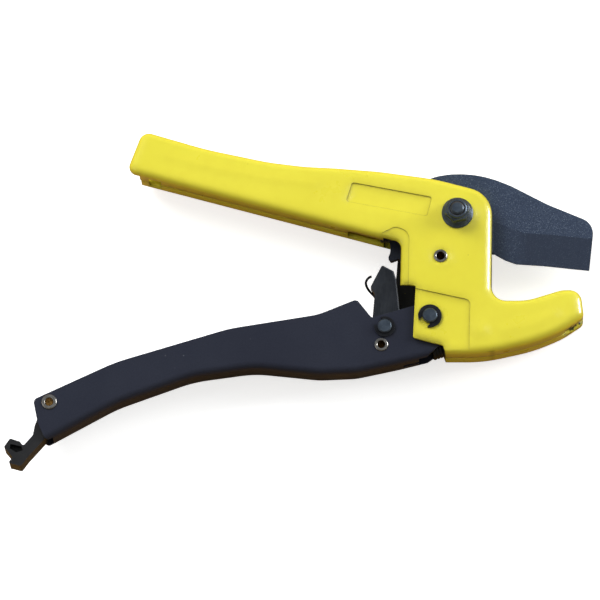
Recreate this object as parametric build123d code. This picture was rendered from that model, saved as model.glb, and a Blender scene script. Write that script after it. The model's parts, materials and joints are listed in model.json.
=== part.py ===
from build123d import *
import math
import os

# Ratchet pipe cutter for plastic pipe, in millimetres, lying on its side.
# Origin: the axis of the largest pipe, seated in the jaw, in the blade's mid-plane.
# +X points out of the jaw past its tip, +Y from the lower handle to the upper handle,
# +Z to the side with the pivot nut. Every pivot axis runs along Z.
#
# An outline is a list of corners (x, y, corner radius); a corner without radius is sharp.

# ---------------------------------------------------------------- driving sizes
BODY_HALF = 9.7          # half the width of the yellow body
SHELL_T = 2.0            # wall of each half shell
BODY_INSIDE = BODY_HALF - SHELL_T
BODY_R = 3.0             # outer rounding from cheek to rim
SEAM_GAP = 0.06          # half the joint line between the two shells
SEAM_CHAMFER = 0.35
SLOT_HALF = 2.2          # half the width of the slot the blade runs in
PANEL_DEPTH = 0.55       # pressed panels in the cheeks
STEP_DEPTH = 0.4         # step beside the back opening
BLADE_T = 3.0            # blade thickness
HANDLE_HALF = 7.2        # half the width of the lower handle
HANDLE_T = 2.0           # its sheet
HANDLE_INSIDE = HANDLE_HALF - HANDLE_T
PAWL_T = 5.0
CATCH_HALF = 4.9

# pivots, rivets and spring ends (x, y)
MAIN = (-36.6, 19.2)             # blade pivot
STOP = (-44.2, -0.8)             # blade stop rivet
LOWER_PIVOT = (-49.0, -28.8)     # lower handle pivot
PAWL_PIVOT = (-69.3, -33.1)
ANCHOR = (-70.8, -41.3)          # pawl spring anchor
CATCH_PIVOT = (-219.4, -67.5)
SPRING_POST = (-26.5, -35.0)     # return spring's post in the jaw
SPRING_PIN = (-57.0, -45.2)      # return spring's pin in the lower handle
SPRING_RUN = (SPRING_POST[0] - SPRING_PIN[0], SPRING_POST[1] - SPRING_PIN[1])
SPRING_ANGLE = math.degrees(math.atan2(SPRING_RUN[1], SPRING_RUN[0]))

# radii shared by mating pieces
BOLT_R = 3.0
BUSH_R = 4.5             # bush between bolt and blade
POST_R = 1.2             # the two pins that hold the return spring
POST_HOLE_R = 1.22
LOWER_BORE = 3.31        # handle and washers round the lower pivot pin
PAWL_BORE = 3.15         # pawl and spacers round the pawl pin

os.makedirs("parts", exist_ok=True)


# ---------------------------------------------------------------- helpers
def rounded(points):
    """Face inside an outline, made of lines and tangent arcs."""
    corners = []    # (start, arc middle or None, end)
    for i, (x, y, *rest) in enumerate(points):
        radius = rest[0] if rest else 0.0
        before, after = points[i - 1], points[(i + 1) % len(points)]
        ux, uy = before[0] - x, before[1] - y
        vx, vy = after[0] - x, after[1] - y
        lu, lv = math.hypot(ux, uy), math.hypot(vx, vy)
        ux, uy, vx, vy = ux / lu, uy / lu, vx / lv, vy / lv
        angle = math.acos(max(-1.0, min(1.0, ux * vx + uy * vy)))
        turn = math.pi - angle
        if radius <= 0 or turn < 1e-4:
            corners.append(((x, y), None, (x, y)))
            continue
        setback = radius * math.tan(turn / 2)
        bx, by = ux + vx, uy + vy
        length = math.hypot(bx, by)
        reach = radius / math.sin(angle / 2) - radius    # corner to the arc's middle
        corners.append((
            (x + ux * setback, y + uy * setback),
            (x + bx / length * reach, y + by / length * reach),
            (x + vx * setback, y + vy * setback),
        ))
    edges = []
    for i, (start, middle, end) in enumerate(corners):
        if middle is not None:
            edges.append(ThreePointArc(start, middle, end))
        following = corners[(i + 1) % len(corners)][0]
        if math.hypot(end[0] - following[0], end[1] - following[1]) > 1e-5:
            edges.append(Line(end, following))
    return make_face(Wire(edges))


def inset(points, distance):
    """A counter-clockwise outline moved inwards, with radii to match."""
    moved = []
    for i, (x, y, *rest) in enumerate(points):
        radius = rest[0] if rest else 0.0
        before, after = points[i - 1], points[(i + 1) % len(points)]
        ux, uy = x - before[0], y - before[1]
        vx, vy = after[0] - x, after[1] - y
        lu, lv = math.hypot(ux, uy), math.hypot(vx, vy)
        ux, uy, vx, vy = ux / lu, uy / lu, vx / lv, vy / lv
        cross = ux * vy - uy * vx
        px, py = x - uy * distance, y + ux * distance
        if abs(cross) < 1e-6:
            moved.append((px, py, radius))
            continue
        # intersection of the two shifted sides
        qx, qy = x - vy * distance, y + vx * distance
        along = ((qx - px) * vy - (qy - py) * vx) / cross
        if radius > 0:
            radius += -distance if cross > 0 else distance
        moved.append((px + ux * along, py + uy * along, max(radius, 0.0)))
    return moved


def prism(outline, z0, z1):
    return Pos(0, 0, z0) * extrude(rounded(outline), amount=z1 - z0, dir=(0, 0, 1))


def plate(outline, half):
    """Prism centred on the blade's mid-plane."""
    return prism(outline, -half, half)


def block(x0, x1, y0, y1, half):
    """Box centred on the blade's mid-plane."""
    return Pos((x0 + x1) / 2, (y0 + y1) / 2, 0) * Box(x1 - x0, y1 - y0, 2 * half)


def cyl(center, radius, z0, z1):
    return Pos(center[0], center[1], (z0 + z1) / 2) * Cylinder(radius, z1 - z0)


def hole(center, radius):
    """Cutter that passes through everything."""
    return cyl(center, radius, -30, 30)


def tube(center, radius, bore, z0, z1):
    return cyl(center, radius, z0, z1) - cyl(center, bore, z0 - 1, z1 + 1)


def polar(center, radius, degrees):
    angle = math.radians(degrees)
    return (center[0] + radius * math.cos(angle), center[1] + radius * math.sin(angle))


def mirror_z(shape):
    return mirror(shape, about=Plane.XY)


def biggest(shape):
    return max(shape.solids(), key=lambda solid: solid.volume)


def both_sides(shape):
    """The piece and its mirror image across the mid-plane."""
    return Compound(children=[biggest(shape), biggest(mirror_z(shape))])


def flat_edges(shape, level):
    """Edges that lie in the plane Z = level or Z = -level."""
    found = []
    for edge in shape.edges():
        box = edge.bounding_box()
        if abs(abs(box.min.Z) - level) < 1e-4 and abs(box.max.Z - box.min.Z) < 1e-4:
            found.append(edge)
    return found


def circles(shape):
    """Circular edges, lowest first."""
    return shape.edges().filter_by(GeomType.CIRCLE).sort_by(Axis.Z)


def wire_along(points, radius):
    """Round wire along a spline."""
    path = Spline(*points)
    profile = Plane(origin=path.position_at(0), z_dir=path.tangent_at(0)) * Circle(radius)
    return sweep(profile, path=path)


def write(name, shape):
    solids = shape.solids()
    item = solids[0] if len(solids) == 1 else Compound(children=list(solids))
    item.label = name
    export_step(item, os.path.join("parts", name + ".step"))


# ---------------------------------------------------------------- yellow body, two half shells
BODY = [
    (-186.0, 39.9, 3.8), (-62.2, 5.9, 3.4), (-63.2, -45.7, 4.5), (-25.0, -45.9, 70),
    (-3.0, -41.0, 72), (10.5, -35.3, 45), (20.0, -28.8, 3.4), (18.5, -16.4, 5.6),
    (10.2, -16.2, 14), (-5.4, -21.1, 26), (-21.4, -21.1, 6.6), (-20.8, 28.9, 13),
    (-47.0, 36.0, 90), (-72.0, 39.6, 110), (-92.0, 41.3, 90), (-106.0, 42.1, 90),
    (-122.0, 44.2, 110), (-150.0, 50.4, 150), (-178.9, 59.2, 4.6),
]
# bosses standing on the cheek: centre, radius, z of the free end
BOSSES = [(MAIN, 8.2, 2.45), (STOP, 4.6, 2.3), (SPRING_POST, 3.0, 3.6)]
# ribs inside the cheek: outline, z of the free edge
RIBS = [
    # in the jaw
    ([(-18.0, -36.9), (-2.0, -33.2), (9.0, -28.2), (8.4, -26.8), (-2.6, -31.6), (-18.0, -35.3)],
     4.2),
    # along the upper handle
    ([(-170.0, 46.8), (-150.0, 41.3), (-120.0, 35.0), (-98.0, 32.4),
      (-98.0, 33.9), (-120.0, 36.5), (-150.0, 42.8), (-170.0, 48.3)], 5.6),
]
# openings cut from the seam outwards: outline, z they reach
OPENINGS = [
    # blade slot: top, front, cradle, tip and the first part of the underside
    ([(-54.5, 31.0), (-40.0, 24.0), (-29.0, 20.0), (-29.0, -24.6, 6), (8.0, -24.6),
      (10.6, -38.0), (24.0, -38.0), (24.0, -10.0), (-14.0, -10.0), (-14.0, 44.0),
      (-54.5, 44.0)], SLOT_HALF),
    # wider opening at the tip, from the front round to the underside
    ([(11.4, -23.8, 0.8), (11.0, -40.0), (26.0, -40.0), (26.0, -23.8)], 3.3),
    # open back, where the lower handle, pawl and ratchet teeth come in
    ([(-70.0, 12.0, 1.5), (-70.0, -60.0), (-57.5, -60.0), (-57.5, 1.5, 2.5),
      (-60.5, 6.3, 2.5)], 7.9),
    ([(-75.0, -13.9), (-75.0, -70.0), (-40.5, -70.0), (-40.9, -49.0), (-43.2, -42.2, 1.0),
      (-50.6, -40.3, 2), (-56.6, -38.6, 1.2), (-55.4, -14.6, 0.7), (-58.5, -14.1)], 30.0),
    # pawl clearance in the lips under the upper handle
    ([(-86.0, 18.0), (-86.0, 0.0), (-61.0, -4.0), (-61.0, 11.0), (-71.0, 13.8)], 4.4),
    # the lips stand slightly apart, and further apart near both ends
    ([(-181.0, 45.0), (-181.0, 25.0), (-61.0, -4.0), (-61.0, 9.0)], 0.35),
    ([(-174.0, 43.0), (-174.0, 25.0), (-161.0, 22.0), (-161.0, 40.0)], 0.9),
    ([(-103.0, 26.0), (-103.0, 8.0), (-61.0, -4.0), (-61.0, 12.0)], 0.9),
    # slot in the closed end and notch in the lips, for the catch
    ([(-190.0, 52.5), (-190.0, 30.0), (-180.2, 30.0), (-180.2, 44.0), (-182.0, 52.5)], 6.0),
    ([(-177.4, 43.5), (-174.6, 30.0), (-169.4, 30.0), (-172.2, 43.5)], 5.2),
]
# shallow recesses in the outside of the cheek: outline, depth
PANELS = [
    # blank label field
    ([(-84.0, 34.0, 1.2), (-86.9, 25.0, 1.2), (-50.2, 17.8, 1.2), (-48.0, 26.9, 1.2)],
     PANEL_DEPTH),
    # pad round the lower pivot
    ([(-60.0, -14.7), (-60.0, -50.0), (-31.5, -50.0), (-30.9, -21.3, 2.6)], PANEL_DEPTH),
    # step that follows the edge of the back opening
    ([(-72.5, 9.2), (-64.6, 13.2, 4.0), (-58.2, 10.8, 5.0), (-58.6, -14.3), (-72.5, -14.3)],
     STEP_DEPTH),
]
# far shell only: corner cut away beside the catch opening, extra cheek and its recess
FAR_CORNER = [(-190.0, 46.5), (-190.0, 30.0), (-179.8, 30.0), (-179.8, 43.0, 1.0), (-183.0, 46.5)]
APRON = [
    (-54.0, 4.0), (-63.6, 4.0, 2.0), (-64.4, -6.0, 4), (-63.9, -18.0, 2), (-62.8, -23.4, 1.6),
    (-54.0, -24.4),
]
APRON_RECESS = [(-56.6, 8.0), (-56.6, -30.0), (-50.0, -30.0), (-50.0, 8.0)]


def half_shell():
    """The shell on the +Z side."""
    outer = prism(BODY, SEAM_GAP, BODY_HALF)
    outer = fillet(flat_edges(outer, BODY_HALF), BODY_R)
    outer = chamfer(flat_edges(outer, SEAM_GAP), SEAM_CHAMFER)
    inner = prism(inset(BODY, SHELL_T), -1.0, BODY_INSIDE)
    inner = fillet(flat_edges(inner, BODY_INSIDE), BODY_R - SHELL_T)
    shell = outer - inner
    for center, radius, end in BOSSES:
        shell += cyl(center, radius, end, BODY_INSIDE)
    for outline, edge in RIBS:
        shell += prism(outline, edge, BODY_INSIDE)
    for outline, reach in OPENINGS:
        shell -= prism(outline, -1.0, reach)
    for outline, depth in PANELS:
        shell -= prism(outline, BODY_HALF - depth, BODY_HALF + 1)
    shell -= hole(MAIN, 3.1)
    shell -= hole(STOP, 2.55)
    # groove that clears the coils of the return spring
    groove = Pos(14.0, 0, 0) * Rot(0, 90, 0) * Cylinder(4.9, 14.0)
    shell -= Pos(SPRING_PIN[0], SPRING_PIN[1], 0) * Rot(0, 0, SPRING_ANGLE) * groove
    shell -= hole(LOWER_PIVOT, 3.3)
    shell -= cyl(SPRING_POST, POST_HOLE_R, -1, 5.6)
    return biggest(shell)


def far_shell(near):
    """The -Z shell: a mirror image whose cheek reaches further towards -X at the pawl."""
    shell = biggest(mirror_z(near) - prism(FAR_CORNER, -30, 1))
    apron = prism(APRON, -BODY_HALF, -BODY_INSIDE)
    apron -= prism(APRON_RECESS, -BODY_HALF - 1, -BODY_HALF + 1.0)
    return biggest(shell + apron)


near_shell = half_shell()
write("right_body_shell", near_shell)
write("left_body_shell", far_shell(near_shell))

# ---------------------------------------------------------------- blade
# cutting half and hub, counter-clockwise from the lower corner of the heel
CUTTING_HALF = [
    (-21.6, 3.4, 0.8), (-15.2, -0.3, 2.0), (-10.4, -2.1, 3.0), (2.1, -3.0, 30),
    (22.6, -5.3, 0.4), (24.95, 16.6, 7.6), (4.1, 25.5, 60), (-12.5, 34.4, 28),
    (-19.0, 37.1, 28), (-24.2, 38.7, 28), (-29.5, 39.7, 28), (-34.7, 40.1, 28),
    (-40.0, 40.0, 24), (-46.3, 39.0, 18), (-53.0, 36.2, 8), (-59.0, 26.0, 9),
    (-58.5, 8.0, 9), (-45.0, 0.0, 9), (-30.5, 2.3, 6),
]
CUT_HALF = 5.0           # half height of the blade's cutters
FAR_R = 60.0             # beyond the blade's outline
HUB_R = 22.4
STOP_SLOT_R = (18.1, 24.6)       # inner and outer radius, from the blade pivot
STOP_SLOT_ARC = (207.2, 302.0)   # degrees
HEEL_ARC = (256.0, 300.0)
TOOTH_TIP_R = 36.2       # ratchet teeth, from the blade pivot
TOOTH_ROOT_R = 32.4
TOOTH_PITCH = 17.0       # degrees
TOOTH_FACE = 214.5       # angle of one pushing face, with the blade at rest
SECTOR_END = 254.0
# one humped tooth: degrees from its pushing face, radius, corner radius
TOOTH = [
    (-9.8, TOOTH_ROOT_R + 0.8, 0.0), (-6.4, TOOTH_TIP_R - 1.7, 0.6),
    (-4.2, TOOTH_TIP_R, 0.9), (-0.6, TOOTH_TIP_R, 0.9), (0.9, TOOTH_ROOT_R, 0.4),
]
# where the bevel starts on the blade's face, and the cutting edge it falls to
BEVEL_TOP = [(-20.4, 17.6), (-11.9, 14.3), (-6.6, 12.15), (4.0, 11.45), (30.0, 8.7)]
BEVEL_EDGE = [(-20.4, 2.6), (-15.2, -0.4), (-10.2, -2.25), (2.1, -3.05), (30.0, -6.1)]
EDGE_HALF = 0.15         # half the thickness left at the cutting edge
BEVEL_OVERRUN = 1.35     # cutter's width over the bevel's, at the same slope


def pivot_wedge(arc, radius, steps):
    """Sector with its corner on the blade pivot."""
    start, end = arc
    rim = [polar(MAIN, radius, start + (end - start) * i / steps) for i in range(steps + 1)]
    return plate([MAIN] + rim, CUT_HALF)


def pivot_ring(radius, bore):
    return tube(MAIN, radius, bore, -CUT_HALF, CUT_HALF)


def ratchet_sector():
    points = [polar(MAIN, 12.0, 184.0), polar(MAIN, 22.0, 187.5), polar(MAIN, 32.6, 190.6)]
    face = TOOTH_FACE - TOOTH_PITCH
    profile = TOOTH[2:]    # the first tooth has no back slope
    while face < SECTOR_END:
        points += [polar(MAIN, radius, face + turn) + (corner,)
                   for turn, radius, corner in profile]
        profile = TOOTH
        face += TOOTH_PITCH
    points += [polar(MAIN, TOOTH_ROOT_R, SECTOR_END), polar(MAIN, 26.0, SECTOR_END),
               polar(MAIN, 12.0, 240.0)]
    return plate(points, BLADE_T / 2)


def bevel_cutter():
    """Wedges above the bevel on the +Z face, one for each stretch of the cutting edge."""
    face_z = BLADE_T / 2
    low_z = face_z - (face_z - EDGE_HALF) * BEVEL_OVERRUN
    top_z = face_z + 3

    def overrun(start, edge):
        return tuple(s + (e - s) * BEVEL_OVERRUN for s, e in zip(start, edge))

    cutters = None
    for i in range(len(BEVEL_TOP) - 1):
        start_a, start_b = BEVEL_TOP[i], BEVEL_TOP[i + 1]
        end_a = overrun(start_a, BEVEL_EDGE[i])
        end_b = overrun(start_b, BEVEL_EDGE[i + 1])
        a, b = start_a + (face_z,), start_b + (face_z,)
        c, d = end_a + (low_z,), end_b + (low_z,)
        a_top, b_top, c_top, d_top = (p + (top_z,) for p in (start_a, start_b, end_a, end_b))
        quads = [
            (a, b, d, c), (a_top, b_top, d_top, c_top), (a, b, b_top, a_top),
            (c, d, d_top, c_top), (a, c, c_top, a_top), (b, d, d_top, b_top),
        ]
        faces = []
        for p, q, r, s in quads:
            for triangle in ([p, q, r], [p, r, s]):
                faces.append(Face(Wire.make_polygon(triangle, close=True)))
        wedge = Solid(Shell(faces))
        if wedge.volume < 0:
            wedge = -wedge
        cutters = wedge if cutters is None else cutters + wedge
    return cutters


def blade():
    body = plate(CUTTING_HALF, BLADE_T / 2)
    # round the hub on the -X side
    split = MAIN[0] - 2
    left = plate([(-100, 80), (-100, -60), (split, -60), (split, 80)], CUT_HALF)
    body -= pivot_ring(FAR_R, HUB_R) & left
    body += ratchet_sector()
    # open slot that lets the blade swing past the stop rivet, with a round end
    inner, outer = STOP_SLOT_R
    body -= pivot_ring(outer, inner) & pivot_wedge(STOP_SLOT_ARC, FAR_R, 12)
    body -= hole(polar(MAIN, (inner + outer) / 2, STOP_SLOT_ARC[0]), (outer - inner) / 2)
    # clear the hub's surroundings up to the heel of the cutting half
    body -= pivot_ring(FAR_R, inner) & pivot_wedge(HEEL_ARC, 80.0, 8)
    body = biggest(body)
    bevel = bevel_cutter()
    body -= bevel
    body -= mirror_z(bevel)
    body -= hole(MAIN, BUSH_R + 0.05)
    return biggest(body)


write("blade", blade())

# ---------------------------------------------------------------- main pivot stack
HEX_R = 5.77             # centre to corner of bolt head and nut
NUT_BORE = 3.02
BOLT_WASHER_T = 0.8
HEAD_TOP = -BODY_HALF - BOLT_WASHER_T
HEAD_BOTTOM = -BODY_HALF - 5.0
NUT_HEX = (BODY_HALF + 1.0, BODY_HALF + 6.4)    # z range of the nut's hexagon


def hexagon(turn, corner):
    return [polar(MAIN, HEX_R, 60 * i + turn) + (corner,) for i in range(6)]


def pivot_bolt():
    bolt = cyl(MAIN, BOLT_R, HEAD_TOP, BODY_HALF + 9.2)
    bolt = chamfer(circles(bolt)[-1], 0.7)
    turned = cyl(MAIN, 5.75, HEAD_BOTTOM, HEAD_TOP)
    turned = chamfer(circles(turned)[0], 0.7)
    head = prism(hexagon(turn=0, corner=0.0), HEAD_BOTTOM, HEAD_TOP) & turned
    return biggest(bolt + head)


def bolt_washer():
    """Ring between bolt head and shell, chamfered on its lower face."""
    ring = Cylinder(6.9, BOLT_WASHER_T) - Cylinder(3.15, 2)
    ring = Pos(MAIN[0], MAIN[1], -BODY_HALF - BOLT_WASHER_T / 2) * ring
    return chamfer(circles(ring)[0:1], 0.3)


def pivot_nut():
    """Flanged hexagon nut with a collar that holds the lock ring."""
    flange = cyl(MAIN, 7.1, BODY_HALF, BODY_HALF + 1.3)
    flange = chamfer(circles(flange)[-1], 0.5)
    turned = cyl(MAIN, 5.72, *NUT_HEX)
    turned = chamfer(circles(turned)[-1], 0.75)
    hex_body = prism(hexagon(turn=12, corner=0.25), *NUT_HEX) & turned
    collar = cyl(MAIN, 4.5, BODY_HALF + 6.0, BODY_HALF + 8.0)
    collar = fillet(circles(collar)[-1], 0.8)
    skirt = Pos(MAIN[0], MAIN[1], BODY_HALF + 2.0) * Cone(6.6, 5.2, 1.6)
    nut = flange + hex_body + collar + skirt
    nut -= hole(MAIN, NUT_BORE)
    nut -= cyl(MAIN, 3.9, BODY_HALF + 6.2, BODY_HALF + 7.6)      # seat of the lock ring
    nut -= cyl(MAIN, 3.55, BODY_HALF + 7.5, BODY_HALF + 30)      # mouth of the collar
    return biggest(nut)


write("pivot_bolt", pivot_bolt())
write("bolt_spring_washer", bolt_washer())
write("pivot_nut", pivot_nut())
write("nut_lock_ring", tube(MAIN, 3.85, NUT_BORE, BODY_HALF + 6.25, BODY_HALF + 7.55))
write("pivot_bush", tube(MAIN, BUSH_R, 3.05, -2.4, 2.4))
write("blade_thrust_washers", both_sides(tube(MAIN, 8.2, 4.6, 1.55, 2.4)))


# ---------------------------------------------------------------- hollow rivets
def hollow_rivet(center, radius, bore, head_r, face_z, head_h):
    """Tube with a rolled head on each side, standing on faces at plus and minus face_z."""
    body = cyl(center, radius, -face_z - 0.01, face_z + 0.01)
    head = cyl(center, head_r, face_z, face_z + head_h)
    head = fillet(circles(head)[-1], head_h * 0.85)
    rivet = body + head + mirror_z(head)
    rivet -= hole(center, bore)
    mouths = [e for e in rivet.edges().filter_by(GeomType.CIRCLE) if abs(e.radius - bore) < 1e-3]
    return biggest(fillet(mouths, 0.35))


write("stop_rivet", hollow_rivet(
    STOP, radius=2.5, bore=1.85, head_r=3.05, face_z=BODY_HALF, head_h=0.6))
write("spring_anchor_rivet", hollow_rivet(
    ANCHOR, radius=2.45, bore=1.75, head_r=3.1, face_z=HANDLE_HALF, head_h=0.6))
write("catch_rivet", hollow_rivet(
    CATCH_PIVOT, radius=2.6, bore=1.85, head_r=3.5, face_z=HANDLE_HALF, head_h=0.7))


# ---------------------------------------------------------------- grooved pins and E-clips
HANDLE_GROOVE_R = 2.5
PAWL_GROOVE_R = 2.0
CLIP_PLAY = 0.04         # clip's inner radius over the groove's


def headed_pin(center, radius, head_r, face_z, head_h, end_z, groove_z, groove_w, groove_r):
    """Pin with a domed head below -face_z, running up to end_z, with a groove for its clip."""
    pin = cyl(center, radius, -face_z - 0.01, end_z)
    pin = chamfer(circles(pin)[-1], 0.45)
    head = cyl(center, head_r, -face_z - head_h, -face_z)
    pin += fillet(circles(head)[0], head_h * 0.7)
    pin -= tube(center, radius + 1, groove_r, groove_z, groove_z + groove_w)
    return biggest(pin)


def e_clip(center, outer_r, inner_r, z0, thickness, turn):
    """E-shaped retaining ring, its mouth pointing to the angle turn."""
    origin = (0, 0)
    clip = cyl(origin, outer_r, 0, thickness)
    clip -= cyl(origin, inner_r, -1, thickness + 1)
    # relief pockets either side of the middle prong
    for angle in (115, -115):
        clip -= cyl(polar(origin, inner_r + 0.1, angle), 0.45, -1, thickness + 1)
    back, front, end_x = inner_r * 0.93, inner_r * 1.05, outer_r + 2
    mouth = [(0.0, -back), (end_x, -front), (end_x, front), (0.0, back)]
    clip -= prism(mouth, -1, thickness + 1)
    return Pos(center[0], center[1], z0) * Rot(0, 0, turn) * biggest(clip)


write("handle_pin", headed_pin(
    LOWER_PIVOT, radius=3.25, head_r=4.8, face_z=BODY_HALF - PANEL_DEPTH, head_h=2.0,
    end_z=BODY_HALF + 2.1, groove_z=BODY_HALF - 0.5, groove_w=1.0, groove_r=HANDLE_GROOVE_R))
write("handle_pin_clip", e_clip(
    LOWER_PIVOT, outer_r=5.3, inner_r=HANDLE_GROOVE_R + CLIP_PLAY, z0=BODY_HALF - 0.45,
    thickness=0.85, turn=228))
write("pawl_pin", headed_pin(
    PAWL_PIVOT, radius=3.1, head_r=4.3, face_z=HANDLE_HALF, head_h=1.6,
    end_z=HANDLE_HALF + 2.4, groove_z=HANDLE_HALF + 0.1, groove_w=0.85, groove_r=PAWL_GROOVE_R))
write("pawl_pin_clip", e_clip(
    PAWL_PIVOT, outer_r=4.65, inner_r=PAWL_GROOVE_R + CLIP_PLAY, z0=HANDLE_HALF + 0.15,
    thickness=0.75, turn=140))
write("handle_washers", both_sides(
    tube(LOWER_PIVOT, 6.2, LOWER_BORE, HANDLE_HALF + 0.05, BODY_INSIDE - 0.03)))

# ---------------------------------------------------------------- lower handle, a sheet channel
HANDLE_BOTTOM = [
    (-189.4, -68.1, 60), (-155.2, -55.6, 60), (-127.7, -51.8, 50), (-98.8, -54.9, 40),
    (-82.1, -54.2, 30), (-64.0, -50.3, 60),
]
HANDLE = [(-220.6, -85.5, 2.6)] + HANDLE_BOTTOM + [
    (-50.8, -47.0, 0.6), (-41.2, -38.6, 6), (-41.0, -20.9, 7.3), (-52.5, -22.2, 20),
    (-75.2, -28.8, 1.2), (-81.9, -20.2, 2.2), (-99.2, -27.3, 30), (-139.0, -33.7, 70),
    (-190.0, -49.2, 80), (-226.6, -66.4, 2.4), (-224.5, -76.6, 6),
]
# same underside, but longer and taller than the handle
CHANNEL = [(-256.0, -105.0)] + HANDLE_BOTTOM + [(-20.0, -39.3), (-20.0, 20.0), (-256.0, 20.0)]
HANDLE_HOLES = [(LOWER_PIVOT, LOWER_BORE), (PAWL_PIVOT, 3.12), (ANCHOR, 2.47), (CATCH_PIVOT, 2.62)]
SPRING_PIN_HALF = 6.35


def lower_handle():
    outer = plate(CHANNEL, HANDLE_HALF)
    rim = [e for e in flat_edges(outer, HANDLE_HALF) if e.center().Y < -38]
    outer = fillet(rim, 3.2)
    outer = outer & plate(HANDLE, 20)
    inner = plate(inset(CHANNEL, HANDLE_T)[:-2] + [(-10.0, 40.0), (-270.0, 40.0)], HANDLE_INSIDE)
    rim = [e for e in flat_edges(inner, HANDLE_INSIDE)
           if e.center().Y < -36 and e.center().X > -230]
    inner = fillet(rim, 1.2)
    handle = outer - inner
    # the channel's floor stops short of the end, so the catch can pass
    handle -= block(-240, -217.6, -100, -60, HANDLE_INSIDE)
    for center, radius in HANDLE_HOLES:
        handle -= hole(center, radius)
    # floor opening for the return spring, and a slot for its hook
    handle -= block(-54.0, -40.0, -52.0, -41.8, 5.2)
    handle -= block(-60.9, -53.0, -52.0, -41.8, 1.25)
    handle -= cyl(SPRING_PIN, POST_HOLE_R, -6.4, 6.4)
    return biggest(handle)


write("lower_handle", lower_handle())
write("handle_spring_pin", cyl(SPRING_PIN, POST_R, -SPRING_PIN_HALF, SPRING_PIN_HALF))

# ---------------------------------------------------------------- pawl and its spring
PAWL = [
    (-63.9, -33.1, 3.0), (-62.6, -25.0, 6), (-63.3, -17.4, 20), (-64.1, -9.9, 3.0),
    (-65.4, -5.7, 0.9), (-70.6, -2.8, 0.8), (-75.8, -13.0, 0.7), (-73.9, -16.4, 1.5),
    (-75.0, -29.6, 4), (-73.9, -37.4, 3.6), (-65.0, -37.6, 3.6),
]
PAWL_WIRE_R = 0.55
PAWL_COIL_R = 3.8
PAWL_COIL_STEPS = 24
PAWL_COIL_ARC = (176.0, 168.0 + 360.0)    # degrees round the pawl pin


def pawl():
    body = plate(PAWL, PAWL_T / 2)
    rim = [e for e in flat_edges(body, PAWL_T / 2) if e.length > 1.0 and e.center().Y > -30]
    body = chamfer(rim, 0.25)
    body -= hole(PAWL_PIVOT, PAWL_BORE)
    return biggest(body)


def pawl_spring():
    """One turn round the pawl pin, a leg hooked over the pawl's edge, a leg to the anchor."""
    pawl_z = -PAWL_T / 2 - PAWL_WIRE_R - 0.08        # beside the pawl
    sheet_z = -HANDLE_INSIDE + PAWL_WIRE_R + 0.08    # beside the handle's sheet
    points = [
        (-75.3, -7.7, 0.5), (-76.9, -8.5, 0.3), (-77.9, -10.3, -0.2), (-77.4, -12.3, -1.3),
        (-76.3, -13.7, -2.6), (-75.1, -14.9, pawl_z), (-73.7, -16.6, pawl_z),
        (-72.8, -19.5, pawl_z), (-72.9, -24.0, pawl_z), (-73.3, -28.5, pawl_z),
    ]
    start, end = PAWL_COIL_ARC
    for i in range(PAWL_COIL_STEPS + 1):
        part = i / PAWL_COIL_STEPS
        x, y = polar(PAWL_PIVOT, PAWL_COIL_R, start + (end - start) * part)
        points.append((x, y, pawl_z + (sheet_z - pawl_z) * part))
    # straight leg, tangent to the coil's end
    for distance in (3.0, 9.5):
        points.append(polar((x, y), distance, end + 90) + (sheet_z,))
    return wire_along(points, PAWL_WIRE_R)


write("pawl", pawl())
write("pawl_spacer", tube(PAWL_PIVOT, 4.4, PAWL_BORE, PAWL_T / 2 + 0.05, HANDLE_INSIDE - 0.05))
write("pawl_spring", pawl_spring())

# ---------------------------------------------------------------- handle return spring
# local frame: x along the spring from the handle's pin to the jaw's post
COIL_R = 3.6
WIRE_R = 0.95
HOOK_R = POST_R + WIRE_R + 0.15
COIL_FROM, COIL_MID = 6.6, 12.0
TURNS = 4
LEAD_IN = 5.0            # length of wire over which the coil widens
STEP = 0.02              # length of wire per integration step


def half_coil(slope):
    """Points from the straight lead-in to the coil's middle, and the angle reached there.

    slope is the advance per length of wire.
    """
    x, angle, run, last = COIL_FROM, -90.0, 0.0, 0.0
    points = []
    while x < COIL_MID:
        blend = min(1.0, run / LEAD_IN)
        blend = blend * blend * (3 - 2 * blend)
        along = 1 + (slope - 1) * blend
        radius = HOOK_R + (COIL_R - HOOK_R) * blend
        x += along * STEP
        angle += math.degrees(math.sqrt(max(0.0, 1 - along * along)) * STEP / radius)
        run += STEP
        if run - last >= (0.8 if run < LEAD_IN + 1 else 1.7):
            last = run
            turned = math.radians(angle)
            points.append((x, radius * math.sin(turned), radius * math.cos(turned)))
    return points, angle


def return_spring():
    """Coil with a hook at each end; the two halves are alike."""
    length = math.hypot(*SPRING_RUN)
    # bisect for the slope that brings the wire to the hooks' side at the coil's middle
    low, high = 0.02, 0.9
    for _ in range(40):
        middle = (low + high) / 2
        if half_coil(middle)[1] > -90 + 180 * TURNS:
            low = middle
        else:
            high = middle
    coil = half_coil((low + high) / 2)[0]
    while coil[-1][0] > COIL_MID - 0.09:
        coil.pop()
    hook = [polar((0.0, 0.0), HOOK_R, angle) + (0.0,) for angle in range(45, 271, 15)]
    near_lead = [(x, -HOOK_R, 0.0) for x in (1.6, 3.2, 4.8, 5.9)]
    coil_end = 2 * COIL_MID - COIL_FROM
    far_lead = [(coil_end + (length - coil_end) * i / 9, -HOOK_R, 0.0) for i in range(9)]
    far_coil = [(2 * COIL_MID - x, y, -z) for x, y, z in reversed(coil)]
    far_hook = [(length - x, y, -z) for x, y, z in reversed(hook)]
    path = hook + near_lead + coil + far_coil + far_lead + far_hook
    spring = wire_along([(x, -y, -z) for x, y, z in path], WIRE_R)
    return Pos(SPRING_PIN[0], SPRING_PIN[1], 0) * Rot(0, 0, SPRING_ANGLE) * spring


write("return_spring", return_spring())
write("spring_post", cyl(SPRING_POST, POST_R, -5.5, 5.5))

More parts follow.
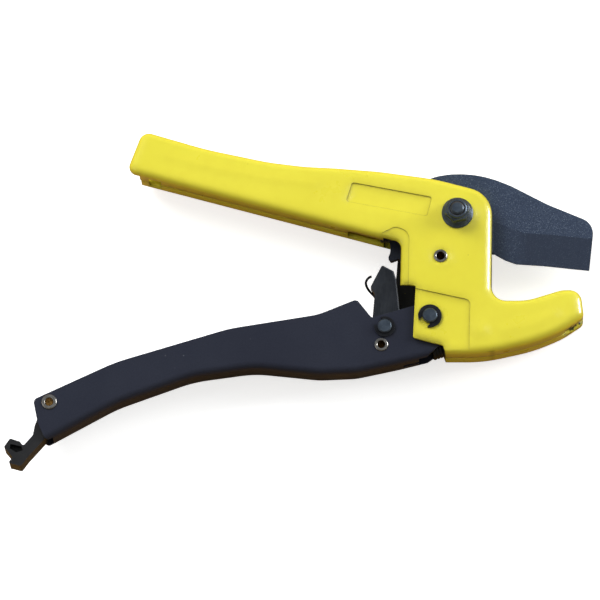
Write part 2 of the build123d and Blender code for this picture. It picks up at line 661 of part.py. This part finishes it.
# ---------------------------------------------------------------- locking catch
CATCH = [
    (-222.9, -69.5, 2.5), (-225.9, -78.0, 2.0), (-226.6, -82.2, 1.0), (-230.9, -87.2, 0.8),
    (-232.4, -85.2, 0.3), (-236.8, -83.7, 0.7), (-239.5, -87.6, 0.7), (-235.6, -92.4, 0.6),
    (-237.5, -95.0, 0.7), (-231.8, -96.5, 0.8), (-228.6, -92.2, 0.8), (-220.7, -83.2, 1.5),
    (-218.9, -78.0, 2), (-215.9, -69.5, 2.5),
]
CATCH_HOLLOW = [
    (-236.7, -86.2, 0.5), (-236.9, -88.4, 0.5), (-233.9, -90.2, 0.5), (-230.9, -89.2, 0.4),
    (-231.7, -87.3, 0.4),
]
WEB_HALF = 0.9           # half the web left between the hollows


def catch():
    body = plate(CATCH, CATCH_HALF)
    # hollows in both sides of the hook arm
    body -= prism(CATCH_HOLLOW, WEB_HALF, 6)
    body -= prism(CATCH_HOLLOW, -6, -WEB_HALF)
    body -= hole(CATCH_PIVOT, 2.64)
    return biggest(body)


write("catch", catch())
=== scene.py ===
import json

import bpy
from mathutils import Matrix, Vector


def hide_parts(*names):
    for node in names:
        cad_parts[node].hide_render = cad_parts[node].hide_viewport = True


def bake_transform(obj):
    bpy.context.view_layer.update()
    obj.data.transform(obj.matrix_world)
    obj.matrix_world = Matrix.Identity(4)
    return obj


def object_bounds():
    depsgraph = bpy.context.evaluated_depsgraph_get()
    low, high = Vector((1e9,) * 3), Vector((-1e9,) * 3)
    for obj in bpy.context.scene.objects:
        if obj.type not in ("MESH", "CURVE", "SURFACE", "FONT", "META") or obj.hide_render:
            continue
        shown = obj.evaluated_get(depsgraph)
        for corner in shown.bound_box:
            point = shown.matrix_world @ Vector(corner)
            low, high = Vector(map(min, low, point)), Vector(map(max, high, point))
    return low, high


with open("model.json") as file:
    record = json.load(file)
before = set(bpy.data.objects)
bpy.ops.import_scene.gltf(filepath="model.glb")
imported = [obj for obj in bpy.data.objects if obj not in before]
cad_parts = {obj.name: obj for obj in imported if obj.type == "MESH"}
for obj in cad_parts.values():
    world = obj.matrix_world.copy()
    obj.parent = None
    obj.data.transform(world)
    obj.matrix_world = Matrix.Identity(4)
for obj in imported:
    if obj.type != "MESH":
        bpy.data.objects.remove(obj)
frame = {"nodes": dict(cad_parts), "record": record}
CAD_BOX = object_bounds()
NODES = frame["nodes"]
SLOT_OF = {row["node"]: row["material_slot"] for row in frame["record"]["subparts"]}

FLOOR_SIZE = 14
FLOOR_GAP = 0.0004  # between the lowest point and the floor

# camera: looks down from +Z, leaning 16 degrees towards -Y
LENS_MM = 400.0
SENSOR_MM = 36.0
VIEW_WIDTH = 0.270
VIEW_CENTRE = Vector((-0.10755, -0.0184, 0.0))
TOWARDS_CAMERA = Vector((0.030, -0.2756, 0.961)).normalized()
VIEW_ROLL = 0.005  # Y part of the view's right-hand direction, for an X part of 1


# ---------------------------------------------------------------- node helpers
class Shader:
    """A short way to write the node tree of a material or a world.

    Masks run from 0 to 1. A span's `over` may fall, which turns the mask round.
    """

    def __init__(self, block, output="ShaderNodeOutputMaterial"):
        block.use_nodes = True
        self.block = block
        self.tree = block.node_tree
        self.tree.nodes.clear()
        self.surface = self.node(output).inputs["Surface"]
        self.coords = self.node("ShaderNodeTexCoord").outputs

    def node(self, kind, **settings):
        made = self.tree.nodes.new(kind)
        for key, value in settings.items():
            setattr(made, key, value)
        return made

    def put(self, socket, value):
        """Link a socket or set a value; None leaves the default."""
        if isinstance(value, bpy.types.NodeSocket):
            self.tree.links.new(value, socket)
        elif value is not None:
            if socket.type == "RGBA":
                value = (*value, 1)
            socket.default_value = value

    def fill(self, node, values):
        for key, value in values.items():
            self.put(node.inputs[key], value)
        return node

    # arithmetic
    def math(self, operation, a, b=None, clamp=False):
        made = self.node("ShaderNodeMath", operation=operation, use_clamp=clamp)
        return self.fill(made, {0: a, 1: b}).outputs[0]

    def times(self, a, b, clamp=False):
        return self.math("MULTIPLY", a, b, clamp)

    def invert(self, value, clamp=False):
        return self.math("SUBTRACT", 1.0, value, clamp)

    def dot(self, a, b):
        made = self.node("ShaderNodeVectorMath", operation="DOT_PRODUCT")
        return self.fill(made, {0: a, 1: b}).outputs[1]

    def span(self, value, over, to=(0.0, 1.0)):
        """Carry the range `over` on to the range `to`, held at both ends."""
        made = self.node("ShaderNodeMapRange", clamp=True)
        self.fill(made, {
            "Value": value,
            "From Min": over[0],
            "From Max": over[1],
            "To Min": to[0],
            "To Max": to[1],
        })
        return made.outputs["Result"]

    def between(self, value, rise, fall):
        return self.times(self.span(value, over=rise), self.span(value, over=fall))

    # textures
    def noise(self, scale, detail=4, rough=0.6, stretch=None, offset=None):
        coords = self.coords["Object"]
        if stretch or offset:
            mapping = self.node("ShaderNodeMapping")
            self.fill(mapping, {"Vector": coords, "Scale": stretch, "Location": offset})
            coords = mapping.outputs[0]
        made = self.node("ShaderNodeTexNoise")
        self.fill(made, {"Vector": coords, "Scale": scale, "Detail": detail, "Roughness": rough})
        return made.outputs["Fac"]

    def patches(self, over, to=(0.0, 1.0), **noise):
        return self.span(self.noise(**noise), over, to)

    def cells(self, scale, channel):
        """A random value for each cell, and the distance from the cell's point."""
        made = self.node("ShaderNodeTexVoronoi", feature="F1")
        self.fill(made, {"Vector": self.coords["Object"], "Scale": scale})
        split = self.fill(self.node("ShaderNodeSeparateColor"), {0: made.outputs["Color"]})
        return split.outputs[channel], made.outputs["Distance"]

    # colour
    def mix(self, mask, a, b):
        made = self.node("ShaderNodeMix", data_type="RGBA", clamp_factor=True)
        return self.fill(made, {0: mask, 6: a, 7: b}).outputs[2]

    def paint(self, under, colour, mask, amount=None):
        """Lay a colour over another where the mask is 1."""
        if amount is not None:
            mask = self.times(mask, amount)
        return self.mix(mask, under, colour)

    # shape of the surface
    def split(self, vector):
        return self.fill(self.node("ShaderNodeSeparateXYZ"), {0: vector}).outputs

    def own_normal(self):
        """The flat surface normal in the piece's own directions, as x, y, z."""
        made = self.node(
            "ShaderNodeVectorTransform",
            vector_type="NORMAL",
            convert_from="WORLD",
            convert_to="OBJECT",
        )
        geometry = self.node("ShaderNodeNewGeometry")
        self.put(made.inputs[0], geometry.outputs["True Normal"])
        return self.split(made.outputs[0])

    def rounded(self, radius, samples=4):
        """The normal as if edges were rounded."""
        made = self.node("ShaderNodeBevel", samples=samples)
        return self.fill(made, {"Radius": radius}).outputs[0]

    def edge(self, radius, gain, **breaks):
        """1 on sharp edges, 0 on flats; `breaks` are patches that break it up."""
        plain = self.node("ShaderNodeNewGeometry").outputs["Normal"]
        turned = self.invert(self.dot(self.rounded(radius), plain), clamp=True)
        mask = self.times(turned, gain, clamp=True)
        if breaks:
            mask = self.times(mask, self.patches(**breaks), clamp=True)
        return mask

    def crease(self, distance):
        """1 in tight inside corners, 0 on open faces."""
        made = self.node("ShaderNodeAmbientOcclusion", samples=8, only_local=True)
        self.put(made.inputs["Distance"], distance)
        return self.span(made.outputs["AO"], over=(0.80, 0.45))

    def bump(self, height, strength, distance, normal=None):
        made = self.node("ShaderNodeBump")
        self.fill(made, {
            "Strength": strength,
            "Distance": distance,
            "Height": height,
            "Normal": normal,
        })
        return made.outputs[0]

    # outputs
    def principled(self, **sockets):
        """Finish with a principled surface; underscores stand for spaces."""
        made = self.node("ShaderNodeBsdfPrincipled")
        self.fill(made, {key.replace("_", " "): value for key, value in sockets.items()})
        self.put(self.surface, made.outputs[0])
        return self.block

    def source(self, kind, colour, strength=None):
        return self.fill(self.node(kind), {0: colour, 1: strength}).outputs[0]

    def by_ray(self, camera, others):
        """Finish with one look for the camera and another for all other rays."""
        path = self.node("ShaderNodeLightPath")
        choice = self.node("ShaderNodeMixShader")
        self.fill(choice, {0: path.outputs["Is Camera Ray"], 1: others, 2: camera})
        self.put(self.surface, choice.outputs[0])


def new_material(name):
    return Shader(bpy.data.materials.new(name))


# ---------------------------------------------------------------- materials
def enamel():
    t = new_material("yellow_enamel")
    x, y, z = t.split(t.coords["Object"])
    broad = t.patches(scale=14, detail=3, rough=0.5, over=(0.35, 0.68))
    colour = t.mix(broad, (0.80, 0.72, 0.032), (0.86, 0.775, 0.045))
    fine = t.patches(scale=190, rough=0.55, over=(0.42, 0.75), to=(0, 0.35))
    colour = t.paint(colour, (0.78, 0.68, 0.030), mask=fine)

    # paint pulls thin on edges and shows a little deeper
    worn = t.edge(radius=0.0011, gain=2.2, scale=420, over=(0.50, 0.66))
    colour = t.paint(colour, (0.50, 0.40, 0.016), mask=worn, amount=0.40)

    # dark chips at the hook's end, away from the flat faces, and small specks all over
    hook_end = t.times(t.span(x, over=(0.0105, 0.0135)), t.span(y, over=(-0.0258, -0.0275)))
    ragged = t.patches(scale=480, detail=5, rough=0.65, over=(0.50, 0.535))
    chips = t.times(hook_end, ragged, clamp=True)
    mid_thickness = t.span(t.math("ABSOLUTE", z), over=(0.0068, 0.0052))
    chips = t.times(chips, mid_thickness, clamp=True)
    specks = t.patches(scale=900, detail=2, rough=0.5, offset=(3.1, 1.7, 0.4), over=(0.775, 0.79))
    chips = t.math("MAXIMUM", chips, t.times(specks, 0.6))
    colour = t.paint(colour, (0.060, 0.070, 0.018), mask=chips)

    # painted shade: the creases and inside corners are painted darker, where shade falls between
    # faces
    colour = t.paint(colour, (0.20, 0.16, 0.012), mask=t.crease(distance=0.0022), amount=0.75)

    # painted shade: the inner faces round the mechanism are painted near black, as the deep shade
    # inside the body
    along = t.between(x, rise=(-0.0668, -0.0655), fall=(-0.0195, -0.0215))
    across = t.between(y, rise=(-0.0452, -0.0444), fall=(0.026, 0.024))
    through = t.span(t.math("ABSOLUTE", z), over=(0.0082, 0.0078))
    inner_shade_zone = t.times(t.times(along, across), through, clamp=True)
    inner_shade_mottle = t.patches(scale=150, over=(0.35, 0.7))
    inner_shade_colour = t.mix(inner_shade_mottle, (0.0055, 0.0050, 0.0042), (0.013, 0.012, 0.009))
    inner_shade_amount = t.patches(scale=210, over=(0.10, 0.26))
    colour = t.paint(colour, inner_shade_colour, mask=inner_shade_zone, amount=inner_shade_amount)

    # thick paint softens the edges outside the painted shade, with slow waves and fine peel
    softness = t.times(t.invert(t.times(inner_shade_zone, 1.0)), 0.85)
    plain = t.node("ShaderNodeNewGeometry").outputs["Normal"]
    blend = t.node("ShaderNodeMix", data_type="VECTOR", factor_mode="UNIFORM")
    t.fill(blend, {0: softness, 4: plain, 5: t.rounded(radius=0.0062, samples=8)})
    unit = t.node("ShaderNodeVectorMath", operation="NORMALIZE")
    t.put(unit.inputs[0], blend.outputs[1])
    wave = t.noise(scale=85, detail=2, rough=0.5)
    normal = t.bump(wave, strength=0.16, distance=0.0010, normal=unit.outputs[0])
    peel = t.noise(scale=520, detail=2, rough=0.5)

    rough = t.patches(scale=60, over=(0.3, 0.75), to=(0.26, 0.38))
    return t.principled(
        Base_Color=colour,
        Roughness=t.math("ADD", rough, t.times(inner_shade_zone, 0.25)),
        IOR=1.5,
        Coat_Weight=t.times(t.invert(inner_shade_zone), 0.85),
        Coat_Roughness=t.patches(
            scale=130, detail=3, rough=0.5, over=(0.3, 0.8), to=(0.07, 0.16)
        ),
        Normal=t.bump(peel, strength=0.10, distance=0.00022, normal=normal),
    )


def blade_coat():
    t = new_material("blade_coating")
    x, y, _ = t.split(t.coords["Object"])
    grain = t.noise(scale=1500, rough=0.7)
    broad = t.patches(scale=38, detail=3, rough=0.5, over=(0.3, 0.7))
    colour = t.mix(broad, (0.041, 0.060, 0.105), (0.058, 0.081, 0.134))
    colour = t.mix(t.span(grain, over=(0.35, 0.72)), (0.024, 0.037, 0.068), colour)

    # pale flakes in some of the cells
    cell, distance = t.cells(scale=3300, channel="Red")
    chosen = t.span(cell, over=(0.76, 0.95))
    flakes = t.times(chosen, t.span(distance, over=(0.60, 0.2)), clamp=True)
    colour = t.paint(colour, (0.25, 0.31, 0.40), mask=flakes, amount=0.62)

    # painted shade: the ground wedge leans off the flat and is painted darker, less so towards -X
    wedge_shade = t.span(t.math("ABSOLUTE", t.own_normal()[2]), over=(0.9992, 0.9975))
    wedge_shade = t.times(wedge_shade, t.span(x, over=(-0.0115, -0.0050), to=(0.35, 1.0)))
    colour = t.paint(colour, (0.020, 0.028, 0.050), mask=wedge_shade, amount=0.70)

    worn = t.edge(radius=0.0006, gain=2.0, scale=700, over=(0.42, 0.62))
    colour = t.paint(colour, (0.16, 0.18, 0.21), mask=worn, amount=0.45)

    # painted shade: the ratchet teeth sit inside the body and are painted near black
    teeth_shade = t.times(
        t.span(x, over=(-0.050, -0.054)), t.span(y, over=(0.014, 0.008)), clamp=True
    )
    colour = t.paint(colour, (0.010, 0.011, 0.014), mask=teeth_shade, amount=0.85)

    height = t.math("ADD", t.times(grain, 0.7), t.times(distance, 0.5))
    return t.principled(
        Base_Color=colour,
        Metallic=0.10,
        Roughness=t.span(grain, over=(0.3, 0.7), to=(0.42, 0.62)),
        Specular_IOR_Level=0.28,
        Normal=t.bump(height, strength=0.45, distance=0.00016),
    )


def handle_powder():
    t = new_material("black_powder_coat")
    grain = t.noise(scale=1250, rough=0.65)
    broad = t.patches(scale=22, detail=3, rough=0.5, over=(0.3, 0.7))
    colour = t.mix(broad, (0.0165, 0.0195, 0.0345), (0.0215, 0.0255, 0.0425))
    pits = t.span(grain, over=(0.40, 0.75), to=(0, 0.5))
    colour = t.paint(colour, (0.0105, 0.0125, 0.0235), mask=pits)

    # dust: a dot in a few of the cells, in drifts
    cell, distance = t.cells(scale=520, channel="Green")
    chosen = t.span(cell, over=(0.975, 0.985))
    dust = t.times(chosen, t.span(distance, over=(0.22, 0.10)), clamp=True)
    drifts = t.patches(scale=26, detail=2, rough=0.5, offset=(5, 2, 1), over=(0.45, 0.6))
    dust = t.times(dust, drifts, clamp=True)
    colour = t.paint(colour, (0.15, 0.16, 0.18), mask=dust, amount=0.6)

    worn = t.edge(radius=0.0008, gain=2.4, scale=500, over=(0.45, 0.68))
    colour = t.paint(colour, (0.085, 0.090, 0.10), mask=worn, amount=0.5)
    wave = t.noise(scale=170, detail=2, rough=0.5)
    normal = t.bump(wave, strength=0.12, distance=0.0005)
    return t.principled(
        Base_Color=colour,
        Roughness=t.patches(scale=75, over=(0.3, 0.7), to=(0.40, 0.54)),
        Specular_IOR_Level=0.28,
        Normal=t.bump(grain, strength=0.22, distance=0.00010, normal=normal),
    )


def pawl_steel():
    t = new_material("blackened_pawl_steel")
    brush = t.noise(scale=220, stretch=(6.0, 1.0, 1.0))
    blotch = t.patches(scale=120, rough=0.55, over=(0.35, 0.7))
    colour = t.mix(blotch, (0.027, 0.031, 0.039), (0.048, 0.054, 0.065))
    strokes = t.span(brush, over=(0.45, 0.75), to=(0, 0.5))
    colour = t.paint(colour, (0.060, 0.065, 0.075), mask=strokes)

    # edges are bare; the +X face and nose, picked by facing +X, are painted lighter too
    worn = t.edge(radius=0.0004, gain=2.4, scale=900, detail=3, over=(0.35, 0.6))
    face = t.times(
        t.span(t.own_normal()[0], over=(0.55, 0.9)),
        t.patches(scale=420, detail=3, over=(0.30, 0.5)),
        clamp=True,
    )
    lean = t.dot(t.rounded(radius=0.0009, samples=6), (1.0, 0.0, 0.0))
    nose = t.times(
        t.span(lean, over=(0.06, 0.30)),
        t.patches(scale=300, detail=3, over=(0.25, 0.45)),
        clamp=True,
    )
    plus_x_lighter = t.math("MAXIMUM", t.times(face, 0.9), t.times(nose, 0.9))
    edges_and_plus_x = t.math("MAXIMUM", t.times(worn, 0.55), plus_x_lighter)
    return t.principled(
        Base_Color=t.paint(colour, (0.34, 0.36, 0.40), mask=edges_and_plus_x),
        Metallic=0.7,
        Roughness=t.span(brush, over=(0.3, 0.7), to=(0.34, 0.50)),
        Normal=t.bump(brush, strength=0.15, distance=0.00010),
    )


def grained(name, grain, blotch, colours, edge, edge_colour, edge_amount, rough, bump, **sockets):
    """Two blotched colours, lighter edges and one grain for roughness and relief."""
    t = new_material(name)
    grain = t.noise(**grain)
    colour = t.mix(t.patches(**blotch), *colours)
    colour = t.paint(colour, edge_colour, mask=t.edge(**edge), amount=edge_amount)
    return t.principled(
        Base_Color=colour,
        Roughness=t.span(grain, over=(0.3, 0.7), to=rough),
        Normal=t.bump(grain, **bump),
        **sockets,
    )


def black_oxide():
    return grained(
        "black_oxide_steel",
        grain=dict(scale=900),
        blotch=dict(scale=190, detail=3, rough=0.55, over=(0.35, 0.7)),
        colours=((0.056, 0.074, 0.100), (0.118, 0.152, 0.196)),
        edge=dict(radius=0.00045, gain=2.6, scale=1300, detail=3, over=(0.30, 0.62)),
        edge_colour=(0.34, 0.39, 0.46),
        edge_amount=0.65,
        rough=(0.28, 0.46),
        bump=dict(strength=0.18, distance=0.00008),
        Metallic=0.80,
    )


def spring_steel():
    return grained(
        "black_spring_steel",
        grain=dict(scale=1400),
        blotch=dict(scale=260, detail=3, rough=0.5, over=(0.35, 0.7)),
        colours=((0.012, 0.013, 0.016), (0.026, 0.028, 0.034)),
        edge=dict(radius=0.0003, gain=2.4, scale=1500, detail=3, over=(0.35, 0.65)),
        edge_colour=(0.16, 0.165, 0.18),
        edge_amount=0.55,
        rough=(0.30, 0.48),
        bump=dict(strength=0.15, distance=0.00006),
        Metallic=0.7,
    )


def nickel():
    return grained(
        "nickel_plate",
        grain=dict(scale=1600, detail=3, rough=0.5),
        blotch=dict(scale=420, over=(0.40, 0.72)),
        colours=((0.36, 0.35, 0.33), (0.17, 0.16, 0.14)),
        edge=dict(radius=0.0004, gain=1.6),
        edge_colour=(0.60, 0.59, 0.57),
        edge_amount=0.35,
        rough=(0.20, 0.34),
        bump=dict(strength=0.12, distance=0.00006),
        Metallic=1.0,
    )


def turned_steel():
    return grained(
        "turned_steel",
        grain=dict(scale=1100, detail=2, rough=0.5, stretch=(0.15, 0.15, 3.0)),
        blotch=dict(scale=160, rough=0.55, over=(0.35, 0.7)),
        colours=((0.30, 0.295, 0.285), (0.46, 0.455, 0.44)),
        edge=dict(radius=0.0004, gain=1.8),
        edge_colour=(0.66, 0.65, 0.63),
        edge_amount=0.4,
        rough=(0.28, 0.44),
        bump=dict(strength=0.18, distance=0.00008),
        Metallic=1.0,
    )


def moulded(name, dark, light):
    return grained(
        name,
        grain=dict(scale=700),
        blotch=dict(scale=90, detail=3, rough=0.5, over=(0.35, 0.7)),
        colours=(dark, light),
        edge=dict(radius=0.0007, gain=2.2, scale=600, over=(0.40, 0.65)),
        edge_colour=tuple(3.2 * channel + 0.01 for channel in light),
        edge_amount=0.5,
        rough=(0.42, 0.60),
        bump=dict(strength=0.22, distance=0.00014),
        Specular_IOR_Level=0.45,
    )


FINISH = {
    "body_enamel": enamel(),
    "blade_coating": blade_coat(),
    "handle_powder": handle_powder(),
    "black_oxide": black_oxide(),
    "spring_steel": spring_steel(),
    "pawl_steel": pawl_steel(),
    "nickel": nickel(),
    "steel": turned_steel(),
    "nylon": moulded("grey_nylon", dark=(0.045, 0.046, 0.050), light=(0.075, 0.076, 0.080)),
    "catch_plastic": moulded(
        "black_moulded_plastic", dark=(0.0085, 0.0090, 0.0105), light=(0.0165, 0.0170, 0.0190)
    ),
}
for name, piece in NODES.items():
    piece.data.materials.clear()
    piece.data.materials.append(FINISH[SLOT_OF[name]])


# ---------------------------------------------------------------- springs
def stretch_spring(node):
    """Replace a spring with a plain copy in the same place, without its rig_ keys."""
    source = NODES[node]
    wire = source.copy()
    wire.data = source.data.copy()
    wire.name = node + "_wire"
    bpy.context.scene.collection.objects.link(wire)
    bpy.context.view_layer.update()
    place = source.matrix_world.copy()
    wire.parent = None
    wire.matrix_world = place
    for key in [key for key in wire.keys() if key.startswith("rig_")]:
        del wire[key]
    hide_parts(node)
    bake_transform(wire)


stretch_spring("return_spring")
stretch_spring("pawl_spring")


# ---------------------------------------------------------------- floor, light, camera
def add_to_stage(name, data):
    placed = bpy.data.objects.new(name, data)
    bpy.context.scene.collection.objects.link(placed)
    return placed


def stage_floor():
    """Pale and faintly glowing to the camera, a warm tan to every other ray."""
    bpy.ops.mesh.primitive_plane_add(
        size=FLOOR_SIZE, location=(-0.1, 0, CAD_BOX[0].z - FLOOR_GAP)
    )
    floor = bpy.context.object
    floor.name = "studio_floor"
    t = new_material("pale_floor")
    mottle = t.patches(scale=3.0, detail=2, rough=0.5, over=(0.3, 0.7))
    pale = t.mix(mottle, (0.86, 0.86, 0.86), (0.90, 0.90, 0.90))
    look = t.node("ShaderNodeAddShader")
    t.fill(look, {
        0: t.source("ShaderNodeBsdfDiffuse", pale),
        1: t.source("ShaderNodeEmission", (1, 1, 1), strength=0.66),
    })
    bounce = t.source("ShaderNodeBsdfDiffuse", (0.47, 0.265, 0.080))
    t.by_ray(camera=look.outputs[0], others=bounce)
    floor.data.materials.append(t.block)


def softbox(name, place, target_x, size, watts, colour):
    """A rectangular light facing a point on the X axis."""
    light = bpy.data.lights.new(name, "AREA")
    light.shape = "RECTANGLE"
    light.size, light.size_y = size
    light.energy = watts
    light.color = colour
    lamp = add_to_stage(name, light)
    lamp.location = place
    lamp.rotation_mode = "QUATERNION"
    aim = Vector((target_x, 0.0, 0.0)) - Vector(place)
    lamp.rotation_quaternion = aim.to_track_quat("-Z", "Y")
    return lamp


def stage_world():
    """Warm and dim towards -Y, cool and bright towards +Y; pale grey to the camera."""
    world = bpy.data.worlds.new("studio")
    bpy.context.scene.world = world
    t = Shader(world, output="ShaderNodeOutputWorld")
    y = t.split(t.coords["Generated"])[1]
    side = t.span(y, over=(-0.7, 0.5), to=(0.22, 1.0))
    sky = t.mix(side, (0.33, 0.26, 0.17), (0.90, 0.95, 1.0))
    t.by_ray(
        camera=t.source("ShaderNodeBackground", (0.93, 0.93, 0.93), strength=1.0),
        others=t.source("ShaderNodeBackground", sky, strength=0.45),
    )


def stage_camera():
    lens = bpy.data.cameras.new("camera")
    lens.lens, lens.sensor_width = LENS_MM, SENSOR_MM
    lens.clip_start, lens.clip_end = 0.05, 50
    camera = add_to_stage("camera", lens)
    back = TOWARDS_CAMERA
    right = Vector((1, VIEW_ROLL, 0))
    right.z = -(right.x * back.x + right.y * back.y) / back.z  # square to the view
    right.normalize()
    up = back.cross(right).normalized()
    pose = Matrix((right, up, back)).transposed().to_4x4()
    pose.translation = VIEW_CENTRE + back * (VIEW_WIDTH * LENS_MM / SENSOR_MM)
    camera.matrix_world = pose
    bpy.context.scene.camera = camera


stage_floor()
key = softbox(
    "key", place=(-0.90, 0.85, 0.95), target_x=-0.10,
    size=(0.9, 0.9), watts=18.2, colour=(1.0, 0.99, 0.97),
)
key.visible_glossy = False
softbox(
    "window_right", place=(1.05, 0.34, 0.52), target_x=-0.02,
    size=(0.50, 0.75), watts=9.5, colour=(0.97, 0.99, 1.0),
)
# only seen in reflections
strip = softbox(
    "strip_right", place=(0.86, 0.32, 0.50), target_x=-0.02,
    size=(0.34, 0.60), watts=9.0, colour=(1.0, 1.0, 1.0),
)
strip.visible_diffuse = False
softbox(
    "fill_left", place=(-1.1, -0.35, 0.8), target_x=-0.12,
    size=(0.8, 0.8), watts=2.0, colour=(1.0, 0.97, 0.92),
)
stage_world()
stage_camera()

view = bpy.context.scene.view_settings
view.view_transform = "Standard"
view.look = "None"
view.exposure = 0.0
view.gamma = 1.0
